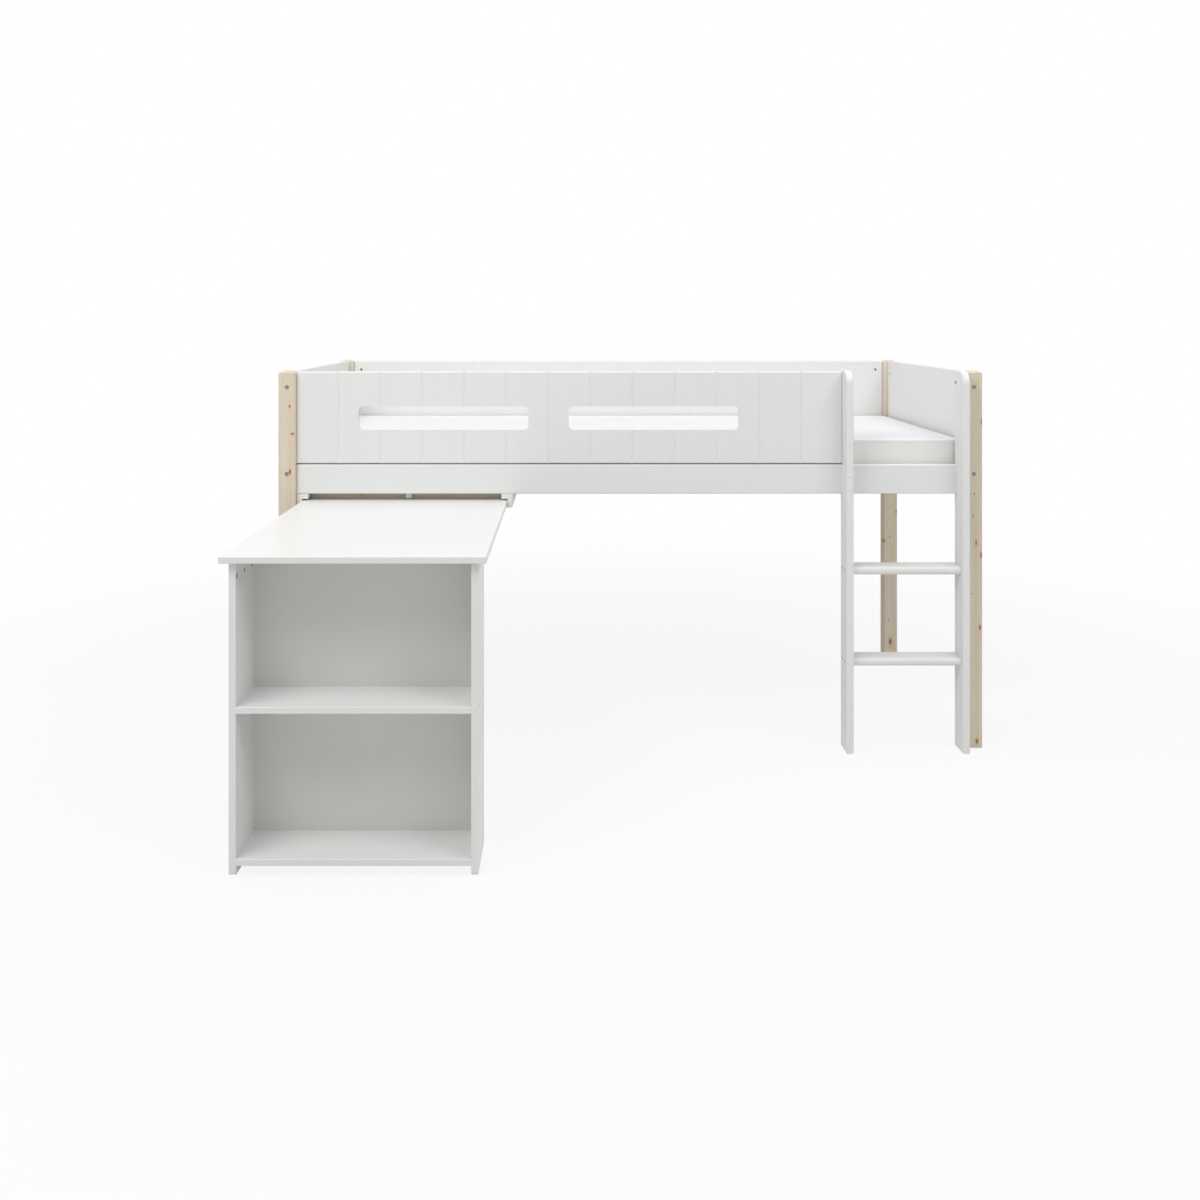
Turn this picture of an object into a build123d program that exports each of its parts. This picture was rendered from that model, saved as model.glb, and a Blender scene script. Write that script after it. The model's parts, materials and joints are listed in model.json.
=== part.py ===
from build123d import *
import os

# Loft bed on four square posts, with a ladder and a desk that pulls out from under it.
# Millimetres. The pieces are worked out in bed coordinates: x from the left end, y from the
# posts' front faces towards the back, z from the floor. They are moved to the part's own frame
# only as they are written: its origin is on the floor, at the middle of the whole object.

# Mattress
mattress_length = 2000
mattress_width = 900
mattress_thick = 124
mattress_crown = 6
crown_flat_inset = 200
crown_steps = 4
side_steps = 6
mattress_draw = 2
mattress_corner = 24
mattress_end_gap = 14
mattress_side_gap = 9

# Posts
post_side = 51
post_height = 1127
post_round = 4
post_bevel_width = 15
post_bevel_height = 6
glide_height = 3
glide_radius = 17
glide_edge = 1

# Rails and panels between the posts
board_thick = 21
board_setback = 15
board_round = 4
rail_height = 88
rail_gap = 3
guard_height = 275
guard_below_post_top = 3
groove_first = 124.3
groove_pitch = 126.15
groove_width = 7.5
groove_depth = 2.5
slot_length = 510
slot_height = 70.5
slot_rise = 100.2
slot_corner = 14
slot_round = 3
slot_grooves = (3, 8)

# Bolts, nuts and dowels of the bed
bolt_radius = 3
bolt_hole_radius = 3.5
bolt_head_radius = 6.2
bolt_head_thick = 4
bolt_recess = 1.5
bolt_recess_radius = 6.6
bolt_socket_radius = 2.9
bolt_socket_depth = 2.6
bolt_past_nut = 3
nut_radius = 5
nut_hole_radius = 5.1
nut_distance = 28
nut_inset = 0.5
nut_end_wall = 3
bolt_inset_guard = 33
bolt_inset_end_top = 46
bolt_inset_end_bottom = 61
dowel_radius = 4
dowel_hole_radius = 4.1
dowel_length = 40
stile_dowel_length = 30
dowel_end_room = 1
rail_dowel_offset = 26
end_dowel_heights = (118, 236)

# Bed base
ledger_width = 25
ledger_height = 18
ledger_screw_count = 8
slat_width = 70
slat_thick = 18
slat_pitch = 140
slat_end_gap = 4
slat_round = 3
strap_width = 25
strap_thick = 1.2
strap_inset = 130

# Ladder
ladder_clear_width = 322
stile_thick = 21
stile_depth = 80
stile_top_round = 36
stile_round = 3
step_thick = 25
step_front_setback = 15
step_nose = 11
step_heights = (254, 524)
step_screw_radius = 3
step_screw_head_radius = 5
step_screw_length = 60
step_screw_setback = 26
step_screw_spacing = 34
ladder_bolt_heights = (21.5, 60)
ladder_bolt_grip = 16
ladder_bolt_head_radius = 4.5
stile_bolt_length = 58

# Desk, drawn pulled out. It slides back under the bed by 800.
desk_width = 613
desk_from_post = 17.5
desk_below_rail = 20
desk_board = 16
desk_reach = 836
desk_insertion = 135
desk_round = 2
desk_front_overhang = 15
desk_side_overhang = 20
unit_depth = 180
back_board_inset = 9
shelf_bottom_heights = (25, 374)
side_foot_radius = 8
desk_glide_radius = 6
desk_glide_inset = 22
shelf_screw_radius = 2.5
shelf_screw_head_radius = 4.5
shelf_screw_length = 50
shelf_screw_insets = (41, 139)
cam_radius = 6
cam_depth = 10
cam_drop = 33
cam_insets = (12, 76, 140)
cam_bolt_radius = 2.5
cam_bolt_bite = 11
desk_dowel_radius = 3
desk_dowel_length = 30
desk_dowel_bite = 10
desk_dowel_count = 4

# Runners and stop
runner_web = 15
runner_width = 33
runner_flange = 15
runner_lip = 5
runner_clearance = 0.3
runner_side_clearance = 1
runner_round = 2
runner_screw_radius = 2.2
runner_screw_head_radius = 4
runner_screw_length = 36
batten_width = 22.5
batten_gap = 3
batten_screw_count = 4
stop_block_width = 18
stop_block_depth = 20
stop_block_from_desk_centre = 9
stop_block_gap = 0.5
stop_block_behind_rail = 1
small_screw_radius = 1.8
small_screw_head_radius = 3.4
small_screw_share = 0.65
screw_head_angle_height = 2.4
screw_hole_room = 0.1

# Derived places
bed_length = mattress_length + 2 * (mattress_end_gap + board_thick + board_setback)
bed_depth = mattress_width + 2 * (mattress_side_gap + board_thick + board_setback)
board_centre = board_setback + board_thick / 2
board_inner = board_setback + board_thick
guard_top = post_height - guard_below_post_top
guard_bottom = guard_top - guard_height
rail_top = guard_bottom - rail_gap
rail_bottom = rail_top - rail_height
ledger_top = rail_bottom + ledger_height
slat_top = ledger_top + slat_thick
stile_right_x = bed_length - post_side - stile_thick
stile_left_x = stile_right_x - ladder_clear_width - stile_thick
stile_front_y = board_inner - stile_depth
desk_top = rail_bottom - desk_below_rail
desk_under = desk_top - desk_board
desk_left = post_side + desk_from_post
desk_right = desk_left + desk_width
desk_centre = (desk_left + desk_right) / 2
desk_rear = board_setback + desk_insertion
unit_front = desk_front_overhang - desk_reach
unit_back = unit_front + unit_depth
back_board_back = unit_back - back_board_inset
back_board_front = back_board_back - desk_board
side_left_x = desk_left + desk_side_overhang
side_right_x = desk_right - desk_side_overhang - desk_board
stop_front = board_inner + stop_block_behind_rail
batten_front = stop_front + stop_block_depth + stop_block_gap
runner_lip_top = desk_under - runner_clearance
part_shift = Location((-bed_length / 2, (desk_reach - bed_depth) / 2, 0))

pieces = {}


def block(low, high, rounding=0):
    """A box between two corners, with all its edges rounded."""
    size = [b - a for a, b in zip(low, high)]
    box = Pos(*low) * Box(*size, align=(Align.MIN, Align.MIN, Align.MIN))
    if rounding:
        box = fillet(box.edges(), rounding)
    return box


def rod(start, end, radius):
    """A round bar from one point to another."""
    line = Vector(*end) - Vector(*start)
    return Solid.make_cylinder(radius, line.length, Plane(origin=start, z_dir=line))


def cone(start, end, start_radius, end_radius):
    """A round bar that tapers from one point to another."""
    line = Vector(*end) - Vector(*start)
    return Solid.make_cone(start_radius, end_radius, line.length, Plane(origin=start, z_dir=line))


def along(point, direction, distance):
    """The point a distance away from another, along a direction."""
    return tuple(p + d * distance for p, d in zip(point, direction))


def opposite(direction):
    """The direction that points the other way."""
    return tuple(-d for d in direction)


def keep(name, *solids):
    """Remember a piece, or a group of equal pieces, under its name."""
    pieces[name] = pieces.get(name, []) + list(solids)


def cut(name, *tools):
    """Cut holes or grooves in a piece that is already there."""
    pieces[name] = [pieces[name][0] - list(tools)]


def countersunk_screw(head, direction, length, radius, head_radius):
    """A flat-headed screw with its head at a face, pointing along a direction."""
    neck = along(head, direction, screw_head_angle_height)
    return cone(head, neck, head_radius, radius) + rod(neck, along(head, direction, length), radius)


def countersunk_hole(head, direction, length, radius, head_radius):
    """The hole for such a screw, with a little room round it."""
    room = screw_hole_room
    return countersunk_screw(head, direction, length + room, radius + room, head_radius + room)


def screw_through(node, head, direction, length, radius, head_radius, *boards):
    """A flat-headed screw through the boards that it joins."""
    keep(node, countersunk_screw(head, direction, length, radius, head_radius))
    for board in boards:
        cut(board, countersunk_hole(head, direction, length, radius, head_radius))


def socket_bolt(head, direction, length):
    """A bolt with a flat round head and a hexagon socket, head face first."""
    plane = Plane(origin=head, z_dir=direction)
    neck = along(head, direction, bolt_head_thick)
    body = rod(head, neck, bolt_head_radius) + rod(neck, along(head, direction, length), bolt_radius)
    socket = extrude(plane * RegularPolygon(bolt_socket_radius, 6), bolt_socket_depth)
    return body - socket


def bolted_joint(board, post, contact, outward, inward_face, heights, post_thick=post_side):
    """Bolts from the far face of a post or stile into round nuts in the end of a board.

    contact is the middle of the board's end, outward points from the board into the post and
    inward_face points from the middle of the board to the side where its nuts show.
    """
    towards_board = opposite(outward)
    for z in heights:
        point = (contact[0], contact[1], z)
        post_face = along(point, outward, post_thick)
        head = along(post_face, towards_board, bolt_recess)
        neck = along(head, towards_board, bolt_head_thick)
        nut_axis = along(point, towards_board, nut_distance)
        tip = along(nut_axis, towards_board, nut_radius + bolt_past_nut)
        bolt_length = post_thick - bolt_recess + nut_distance + nut_radius + bolt_past_nut
        nut_mouth = along(nut_axis, inward_face, board_thick / 2)
        nut_outer = along(nut_mouth, inward_face, -nut_inset)
        nut_deep = along(nut_axis, inward_face, nut_end_wall - board_thick / 2)
        keep("bed_bolts", socket_bolt(head, towards_board, bolt_length))
        nut = rod(nut_outer, nut_deep, nut_radius) - rod(point, tip, bolt_radius + screw_hole_room)
        keep("barrel_nuts", nut)
        cut(post, rod(post_face, neck, bolt_recess_radius), rod(post_face, point, bolt_hole_radius))
        cut(board, rod(point, tip, bolt_hole_radius), rod(nut_mouth, nut_deep, nut_hole_radius))


def dowelled_joint(board, post, contact, outward, heights, length=dowel_length):
    """Wooden dowels, half in the end of a board and half in the post or stile."""
    half = length / 2
    for z in heights:
        point = (contact[0], contact[1], z)
        keep("bed_dowels", rod(along(point, outward, -half), along(point, outward, half), dowel_radius))
        reach = half + dowel_end_room
        hole = rod(along(point, outward, -reach), along(point, outward, reach), dowel_hole_radius)
        cut(board, hole)
        cut(post, hole)


def make_post(name, x, y):
    """A square post with rounded long edges and a low bevel round its top, on a round glide."""
    body = block((x, y, glide_height), (x + post_side, y + post_side, post_height))
    body = fillet(body.edges().filter_by(Axis.Z), post_round)
    middle = (x + post_side / 2, y + post_side / 2)
    shoulder = post_height - post_bevel_height
    top_side = post_side - 2 * post_bevel_width
    foot = Pos(*middle, glide_height) * Rectangle(post_side, post_side)
    wide = Pos(*middle, shoulder) * Rectangle(post_side, post_side)
    narrow = Pos(*middle, post_height) * Rectangle(top_side, top_side)
    roof = extrude(foot, shoulder - glide_height) + loft([wide.face(), narrow.face()])
    keep(name, (body & roof).solid())
    glide = rod((*middle, 0), (*middle, glide_height), glide_radius)
    keep("post_glides", chamfer(glide.faces().sort_by(Axis.Z)[0].edges(), glide_edge))


def make_posts():
    """Four posts, one at each corner."""
    far_x = bed_length - post_side
    far_y = bed_depth - post_side
    make_post("post_front_left", 0, 0)
    make_post("post_front_right", far_x, 0)
    make_post("post_back_left", 0, far_y)
    make_post("post_back_right", far_x, far_y)


def groove(axis, place, face, outward, bottom, top):
    """A shallow V groove up the outer face of a panel, which stands across x or across y."""
    lip = groove_width / 2
    profile = [(-lip, groove_depth), (lip, groove_depth), (lip, 0), (0, -groove_depth), (-lip, 0)]
    points = []
    for across, out in profile:
        y_or_x = face + outward * out
        points.append((place + across, y_or_x, bottom) if axis == "x" else (y_or_x, place + across, bottom))
    return extrude(make_face(Polyline(*points, close=True)), top - bottom, dir=(0, 0, 1))


def groove_places(start, end):
    """Where the grooves stand along a panel, at a steady pitch from its start."""
    count = int((end - start - groove_first) / groove_pitch) + 1
    return [start + groove_first + i * groove_pitch for i in range(count)]


def make_rails():
    """The front and back side rails, full length between the posts."""
    back_y = bed_depth - board_inner
    for name, y in (("rail_front", board_setback), ("rail_back", back_y)):
        low = (post_side, y, rail_bottom)
        high = (bed_length - post_side, y + board_thick, rail_top)
        keep(name, block(low, high, board_round))


def cut_slot(panel, centre):
    """A long slot through a panel, with rounded corners and softened edges on both faces."""
    middle = (centre, board_centre, guard_bottom + slot_rise + slot_height / 2)
    across = Plane(origin=middle, x_dir=(1, 0, 0), z_dir=(0, -1, 0))
    outline = across * RectangleRounded(slot_length, slot_height, slot_corner)
    panel = panel - extrude(outline, board_thick, both=True)
    for face in (panel.faces().sort_by(Axis.Y)[0], panel.faces().sort_by(Axis.Y)[-1]):
        rim = [wire for wire in face.inner_wires() if abs(wire.bounding_box().center().X - centre) < 1]
        panel = fillet(rim[0].edges(), slot_round)
    return panel


def make_guard_panels():
    """The front guard with its two slots, and the back panel. Both are grooved on the outside."""
    low = (post_side, board_setback, guard_bottom)
    high = (stile_left_x, board_inner, guard_top)
    panel = block(low, high, board_round)
    for before in slot_grooves:
        panel = cut_slot(panel, post_side + groove_first + (before - 0.5) * groove_pitch)
    keep("guard_panel_front", panel)
    places = groove_places(post_side, stile_left_x)
    cut("guard_panel_front", *[groove("x", x, board_setback, -1, guard_bottom, guard_top) for x in places])
    back_low = (post_side, bed_depth - board_inner, guard_bottom)
    back_high = (bed_length - post_side, bed_depth - board_setback, guard_top)
    keep("guard_panel_back", block(back_low, back_high, board_round))
    places = groove_places(post_side, bed_length - post_side)
    back_face = bed_depth - board_setback
    cut("guard_panel_back", *[groove("x", x, back_face, 1, guard_bottom, guard_top) for x in places])


def make_end_panels():
    """The panels at the head and the foot."""
    far = bed_length - board_setback
    low_y = post_side
    high_y = bed_depth - post_side
    for name, x, outer_face, outward in (("end_panel_left", board_setback, board_setback, -1),
                                         ("end_panel_right", far - board_thick, far, 1)):
        low = (x, low_y, rail_bottom)
        high = (x + board_thick, high_y, guard_top)
        keep(name, block(low, high, board_round))
        places = groove_places(low_y, high_y)
        cut(name, *[groove("y", y, outer_face, outward, rail_bottom, guard_top) for y in places])


def join_frame():
    """Bolts, nuts and dowels between the posts and everything that meets them."""
    rail_middle = (rail_bottom + rail_top) / 2
    guard_bolts = (guard_bottom + bolt_inset_guard, guard_top - bolt_inset_guard)
    end_bolts = (rail_bottom + bolt_inset_end_bottom, guard_top - bolt_inset_end_top)
    rail = ((rail_middle,), (rail_middle + rail_dowel_offset,))
    guard = (guard_bolts, ((guard_bottom + guard_top) / 2,))
    end = (end_bolts, [rail_bottom + z for z in end_dowel_heights])
    left, right = (-1, 0, 0), (1, 0, 0)
    front, back = (0, -1, 0), (0, 1, 0)
    far_x = bed_length - post_side
    far_y = bed_depth - post_side
    back_y = bed_depth - board_centre
    right_x = bed_length - board_centre
    along_x = (
        ("rail_front", "post_front_left", post_side, board_centre, left, back, rail),
        ("rail_front", "post_front_right", far_x, board_centre, right, back, rail),
        ("rail_back", "post_back_left", post_side, back_y, left, front, rail),
        ("rail_back", "post_back_right", far_x, back_y, right, front, rail),
        ("guard_panel_front", "post_front_left", post_side, board_centre, left, back, guard),
        ("guard_panel_back", "post_back_left", post_side, back_y, left, front, guard),
        ("guard_panel_back", "post_back_right", far_x, back_y, right, front, guard),
    )
    along_y = (
        ("end_panel_left", "post_front_left", board_centre, post_side, front, right, end),
        ("end_panel_left", "post_back_left", board_centre, far_y, back, right, end),
        ("end_panel_right", "post_front_right", right_x, post_side, front, left, end),
        ("end_panel_right", "post_back_right", right_x, far_y, back, left, end),
    )
    for board, post, x, y, outward, inward, (bolts, dowels) in along_x + along_y:
        bolted_joint(board, post, (x, y), outward, inward, bolts)
        dowelled_joint(board, post, (x, y), outward, dowels)


def make_base():
    """Ledgers on the rails, and slats on the ledgers, held apart by two straps under them."""
    front_y = board_inner
    back_y = bed_depth - board_inner - ledger_width
    for name, rail, y, face, inward in (("ledger_front", "rail_front", front_y, front_y + ledger_width, -1),
                                        ("ledger_back", "rail_back", back_y, back_y, 1)):
        low = (post_side, y, rail_bottom)
        high = (bed_length - post_side, y + ledger_width, ledger_top)
        keep(name, block(low, high))
        spacing = (bed_length - 2 * post_side) / ledger_screw_count
        for i in range(ledger_screw_count):
            head = (post_side + (i + 0.5) * spacing, face, rail_bottom + ledger_height / 2)
            length = ledger_width + board_thick * small_screw_share
            screw_through("ledger_screws", head, (0, inward, 0), length, small_screw_radius,
                          small_screw_head_radius, name, rail)
    inner_length = bed_length - 2 * board_inner
    count = int((inner_length - slat_width) / slat_pitch) + 1
    first = bed_length / 2 - (count - 1) * slat_pitch / 2
    slat_y = (board_inner + slat_end_gap, bed_depth - board_inner - slat_end_gap)
    for i in range(count):
        x = first + i * slat_pitch
        slat = block((x - slat_width / 2, slat_y[0], ledger_top), (x + slat_width / 2, slat_y[1], slat_top))
        keep("bed_slats", fillet(slat.edges().filter_by(Axis.Y), slat_round))
    last = first + (count - 1) * slat_pitch
    for y in (slat_y[0] + strap_inset, slat_y[1] - strap_inset - strap_width):
        low = (first - slat_width / 2, y, ledger_top - strap_thick)
        high = (last + slat_width / 2, y + strap_width, ledger_top)
        keep("slat_straps", block(low, high))


def mattress_section(inset, z):
    """The mattress's plan at one height, drawn in from its full size."""
    x = board_inner + mattress_end_gap + mattress_length / 2
    y = board_inner + mattress_side_gap + mattress_width / 2
    width = mattress_length - 2 * inset
    depth = mattress_width - 2 * inset
    return (Pos(x, y, z) * RectangleRounded(width, depth, mattress_corner)).face()


def make_mattress():
    """The mattress: sides that draw in at half height, and a low crown that flattens inwards.

    Its sections follow parabolas: the side's inset is greatest at half height, and the crown's
    rise slows to nothing where the flat middle begins.
    """
    edge_top = slat_top + mattress_thick
    sections = []
    for i in range(side_steps + 1):
        share = i / side_steps
        inset = mattress_draw * (1 - (2 * share - 1) ** 2)
        sections.append(mattress_section(inset, slat_top + share * mattress_thick))
    for i in range(1, crown_steps + 1):
        share = i / crown_steps
        rise = mattress_crown * (1 - (1 - share) ** 2)
        sections.append(mattress_section(share * crown_flat_inset, edge_top + rise))
    keep("mattress", loft(sections, ruled=True).solid())


def make_stile(name, x):
    """A ladder stile, notched over the side rail and rounded at its top front corner."""
    body = block((x, stile_front_y, 0), (x + stile_thick, board_inner, post_height))
    front_top = body.edges().filter_by(Axis.X).group_by(Axis.Z)[-1].sort_by(Axis.Y)[0]
    body = fillet(front_top, stile_top_round)
    side_faces = body.faces().filter_by(Axis.X)
    body = fillet(side_faces.edges(), stile_round)
    notch_low = (x, board_setback, rail_bottom)
    notch_high = (x + stile_thick, board_inner, rail_top)
    body = body - block(notch_low, notch_high)
    keep(name, body)


def make_ladder():
    """Two stiles and two steps, screwed together and bolted to the side rail."""
    make_stile("ladder_stile_left", stile_left_x)
    make_stile("ladder_stile_right", stile_right_x)
    step_left = stile_left_x + stile_thick
    step_front = stile_front_y + step_front_setback
    for name, z in zip(("ladder_step_lower", "ladder_step_upper"), step_heights):
        step = block((step_left, step_front, z), (stile_right_x, board_inner, z + step_thick))
        long_edges = step.edges().filter_by(Axis.X).group_by(Axis.Y)
        step = fillet(long_edges[0], step_nose)
        keep(name, step)
        for stile, x, direction in (("ladder_stile_left", stile_left_x, 1),
                                    ("ladder_stile_right", stile_right_x + stile_thick, -1)):
            for i in (0, 1):
                y = stile_front_y + step_screw_setback + i * step_screw_spacing
                head = (x, y, z + step_thick / 2)
                screw_through("ladder_step_screws", head, (direction, 0, 0), step_screw_length,
                              step_screw_radius, step_screw_head_radius, stile, name)
    for stile, x in (("ladder_stile_left", stile_left_x), ("ladder_stile_right", stile_right_x)):
        for height in ladder_bolt_heights:
            head = (x + stile_thick / 2, stile_front_y, rail_bottom + height)
            length = board_setback - stile_front_y + ladder_bolt_grip
            screw_through("ladder_rail_screws", head, (0, 1, 0), length, step_screw_radius,
                          ladder_bolt_head_radius, stile, "rail_front")
    bolt_height = guard_top - bolt_inset_guard
    bolted_joint("guard_panel_front", "ladder_stile_left", (stile_left_x, board_centre), (1, 0, 0),
                 (0, 1, 0), (bolt_height,), stile_thick)
    dowelled_joint("guard_panel_front", "ladder_stile_left", (stile_left_x, board_centre), (1, 0, 0),
                   (guard_bottom + bolt_inset_guard,), stile_dowel_length)
    face = (stile_right_x, board_centre, bolt_height)
    head = along(face, (1, 0, 0), bolt_recess)
    neck = along(head, (1, 0, 0), bolt_head_thick)
    tip = along(head, (1, 0, 0), stile_bolt_length)
    keep("bed_bolts", socket_bolt(head, (1, 0, 0), stile_bolt_length))
    hole = rod(face, tip, bolt_radius + screw_hole_room)
    cut("ladder_stile_right", rod(face, neck, bolt_recess_radius), hole)
    cut("post_front_right", hole)


def make_desk_boards():
    """The desktop, the two sides, the back board and the two shelves of the pull-out desk."""
    top_low = (desk_left, -desk_reach, desk_under)
    top_high = (desk_right, desk_rear, desk_top)
    keep("desktop", block(top_low, top_high, desk_round))
    inner_left = side_left_x + desk_board
    for name, x in (("desk_side_left", side_left_x), ("desk_side_right", side_right_x)):
        side = block((x, unit_front, glide_height), (x + desk_board, unit_back, desk_under))
        feet = side.edges().filter_by(Axis.X).group_by(Axis.Z)[0]
        side = fillet(feet, side_foot_radius)
        keep(name, side)
        for y in (unit_front + desk_glide_inset, unit_back - desk_glide_inset):
            middle = x + desk_board / 2
            keep("desk_glides", rod((middle, y, 0), (middle, y, glide_height), desk_glide_radius))
    back_low = (inner_left, back_board_front, shelf_bottom_heights[0])
    keep("desk_back_board", block(back_low, (side_right_x, back_board_back, desk_under)))
    for name, z in zip(("desk_shelf_bottom", "desk_shelf_middle"), shelf_bottom_heights):
        shelf = block((inner_left, unit_front, z), (side_right_x, back_board_front, z + desk_board))
        front_edges = shelf.edges().filter_by(Axis.X).group_by(Axis.Y)[0]
        keep(name, fillet(front_edges, desk_round))


def join_desk():
    """Screws into the shelves, cams up into the desktop and dowels into the back board."""
    sides = (("desk_side_left", side_left_x, 1), ("desk_side_right", side_right_x + desk_board, -1))
    shelves = zip(("desk_shelf_bottom", "desk_shelf_middle"), shelf_bottom_heights)
    levels = [(shelf, z + desk_board / 2) for shelf, z in shelves]
    dowel_y = (back_board_front + back_board_back) / 2
    for side, outer_x, inward in sides:
        direction = (inward, 0, 0)
        for shelf, z in levels:
            for inset in shelf_screw_insets:
                head = (outer_x, unit_front + inset, z)
                screw_through("desk_shelf_screws", head, direction, shelf_screw_length,
                              shelf_screw_radius, shelf_screw_head_radius, side, shelf)
        inner_x = outer_x + inward * desk_board
        for inset in cam_insets:
            mouth = (inner_x, unit_front + inset, desk_under - cam_drop)
            deep = along(mouth, direction, -cam_depth)
            core = (outer_x + inward * desk_board / 2, unit_front + inset)
            pin_bottom = (*core, desk_under - cam_drop + cam_radius)
            pin_top = (*core, desk_under + cam_bolt_bite)
            keep("desk_cams", rod(mouth, deep, cam_radius))
            keep("desk_cam_bolts", rod(pin_bottom, pin_top, cam_bolt_radius))
            cut(side, rod(mouth, deep, cam_radius + screw_hole_room),
                rod(pin_bottom, pin_top, cam_bolt_radius + screw_hole_room))
            cut("desktop", rod(pin_bottom, pin_top, cam_bolt_radius + screw_hole_room))
        for i in range(desk_dowel_count):
            z = desk_under * (i + 0.5) / desk_dowel_count
            start = (inner_x - inward * desk_dowel_bite, dowel_y, z)
            end = along(start, direction, desk_dowel_length)
            keep("desk_dowels", rod(start, end, desk_dowel_radius))
            cut(side, rod(start, end, desk_dowel_radius + screw_hole_room))
            cut("desk_back_board", rod(start, end, desk_dowel_radius + screw_hole_room))


def make_runner(name, web_x, groove_x, opening):
    """A grooved runner under both side rails. Its web is outside and its groove faces the desk."""
    low_x = min(web_x, groove_x)
    high_x = max(web_x, groove_x)
    bottom = runner_lip_top - runner_lip
    front = board_setback
    back = bed_depth - board_setback
    body = block((low_x, front, bottom), (high_x, back, rail_bottom))
    body = fillet(body.edges().filter_by(Axis.Y).group_by(Axis.Z)[0], runner_round)
    wall = web_x + opening * runner_web
    groove_low = (min(wall, groove_x), front, runner_lip_top)
    groove_high = (max(wall, groove_x), back, rail_bottom - runner_flange)
    body = body - block(groove_low, groove_high)
    keep(name, body)
    screw_x = web_x + opening * runner_web / 2
    for y, board in ((board_centre, "rail_front"), (bed_depth - board_centre, "rail_back")):
        head = (screw_x, y, bottom)
        length = rail_bottom - bottom + runner_screw_length
        screw_through("runner_screws", head, (0, 0, 1), length, runner_screw_radius,
                      runner_screw_head_radius, name, board)


def make_runners_and_stop():
    """The two runners, the batten on the desktop and the block that stops it."""
    left_web = desk_left - runner_side_clearance - runner_web
    right_web = desk_right + runner_side_clearance + runner_web
    make_runner("runner_left", left_web, left_web + runner_width, 1)
    make_runner("runner_right", right_web, right_web - runner_width, -1)
    batten_low = (side_left_x, batten_front, desk_top)
    batten_high = (side_right_x + desk_board, batten_front + batten_width, rail_bottom - batten_gap)
    keep("desk_stop_batten", block(batten_low, batten_high))
    spacing = (batten_high[0] - batten_low[0]) / batten_screw_count
    for i in range(batten_screw_count):
        head = (batten_low[0] + (i + 0.5) * spacing, batten_front + batten_width / 2, batten_high[2])
        length = batten_high[2] - desk_top + desk_board * small_screw_share
        screw_through("batten_screws", head, (0, 0, -1), length, small_screw_radius,
                      small_screw_head_radius, "desk_stop_batten", "desktop")
    block_x = desk_centre + stop_block_from_desk_centre
    block_low = (block_x - stop_block_width / 2, stop_front, desk_top + batten_gap)
    block_high = (block_x + stop_block_width / 2, stop_front + stop_block_depth, rail_bottom)
    keep("desk_stop_block", block(block_low, block_high, desk_round))
    head = (block_x, stop_front + stop_block_depth / 2, block_low[2])
    length = rail_bottom - block_low[2] + ledger_height * small_screw_share
    screw_through("stop_block_screw", head, (0, 0, 1), length, small_screw_radius,
                  small_screw_head_radius, "desk_stop_block", "ledger_front")


def write_parts():
    """Write each piece, or group of pieces, to its own file in the part's frame."""
    os.makedirs("parts", exist_ok=True)
    for name, solids in pieces.items():
        placed = [part_shift * solid for solid in solids]
        shape = placed[0] if len(placed) == 1 else Compound(placed)
        export_step(shape, f"parts/{name}.step")
        print(name, len(solids))


make_posts()
make_rails()
make_guard_panels()
make_end_panels()
join_frame()
make_base()
make_mattress()
make_ladder()
make_desk_boards()
join_desk()
make_runners_and_stop()
write_parts()
print("bed", bed_length, "by", bed_depth, "by", post_height)
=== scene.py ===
# %% [markdown]
# Loft bed with a pull-out desk.
#
# The bed stands on four square posts of pale, untreated pine. Everything between them is white: satin
# lacquer on the rails, panels and ladder, and smooth white board on the desk. A firm mattress lies
# on slats. The wooden and metal pieces come from the CAD model, which is loaded first and never changed.
# This lesson dresses them in materials, and makes the soft pieces and the small heads of the fasteners
# anew, as surfaces worked out with numpy.

# %% Load the frame
import json
import math

import bmesh
import bpy
import numpy as np
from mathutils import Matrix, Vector


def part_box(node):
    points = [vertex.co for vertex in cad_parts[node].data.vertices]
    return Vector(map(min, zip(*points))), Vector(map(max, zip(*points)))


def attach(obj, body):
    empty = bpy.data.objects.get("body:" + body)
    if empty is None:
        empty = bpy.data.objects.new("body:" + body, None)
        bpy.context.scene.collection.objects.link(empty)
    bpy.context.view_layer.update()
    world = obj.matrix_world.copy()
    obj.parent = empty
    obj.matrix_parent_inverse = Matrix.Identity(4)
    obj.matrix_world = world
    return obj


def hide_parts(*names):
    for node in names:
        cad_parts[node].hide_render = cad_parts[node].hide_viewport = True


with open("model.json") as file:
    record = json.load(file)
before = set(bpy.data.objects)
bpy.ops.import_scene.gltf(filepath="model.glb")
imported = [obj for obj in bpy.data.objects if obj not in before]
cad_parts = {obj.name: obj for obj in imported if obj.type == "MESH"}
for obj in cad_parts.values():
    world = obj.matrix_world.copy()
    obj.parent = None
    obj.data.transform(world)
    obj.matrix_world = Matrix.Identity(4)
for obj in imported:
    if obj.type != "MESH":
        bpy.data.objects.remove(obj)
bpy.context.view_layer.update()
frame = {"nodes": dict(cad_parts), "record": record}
nodes = frame["nodes"]
MM = 0.001

# %% [markdown]
# The camera. The photograph is taken level, from a little left of the middle and about as high as a
# standing person's chest, and the picture is shifted down. A shift moves the picture without tilting the
# camera, so upright edges stay upright. The place and the lens were worked out from the front and back
# posts, whose real distance is known.

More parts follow.
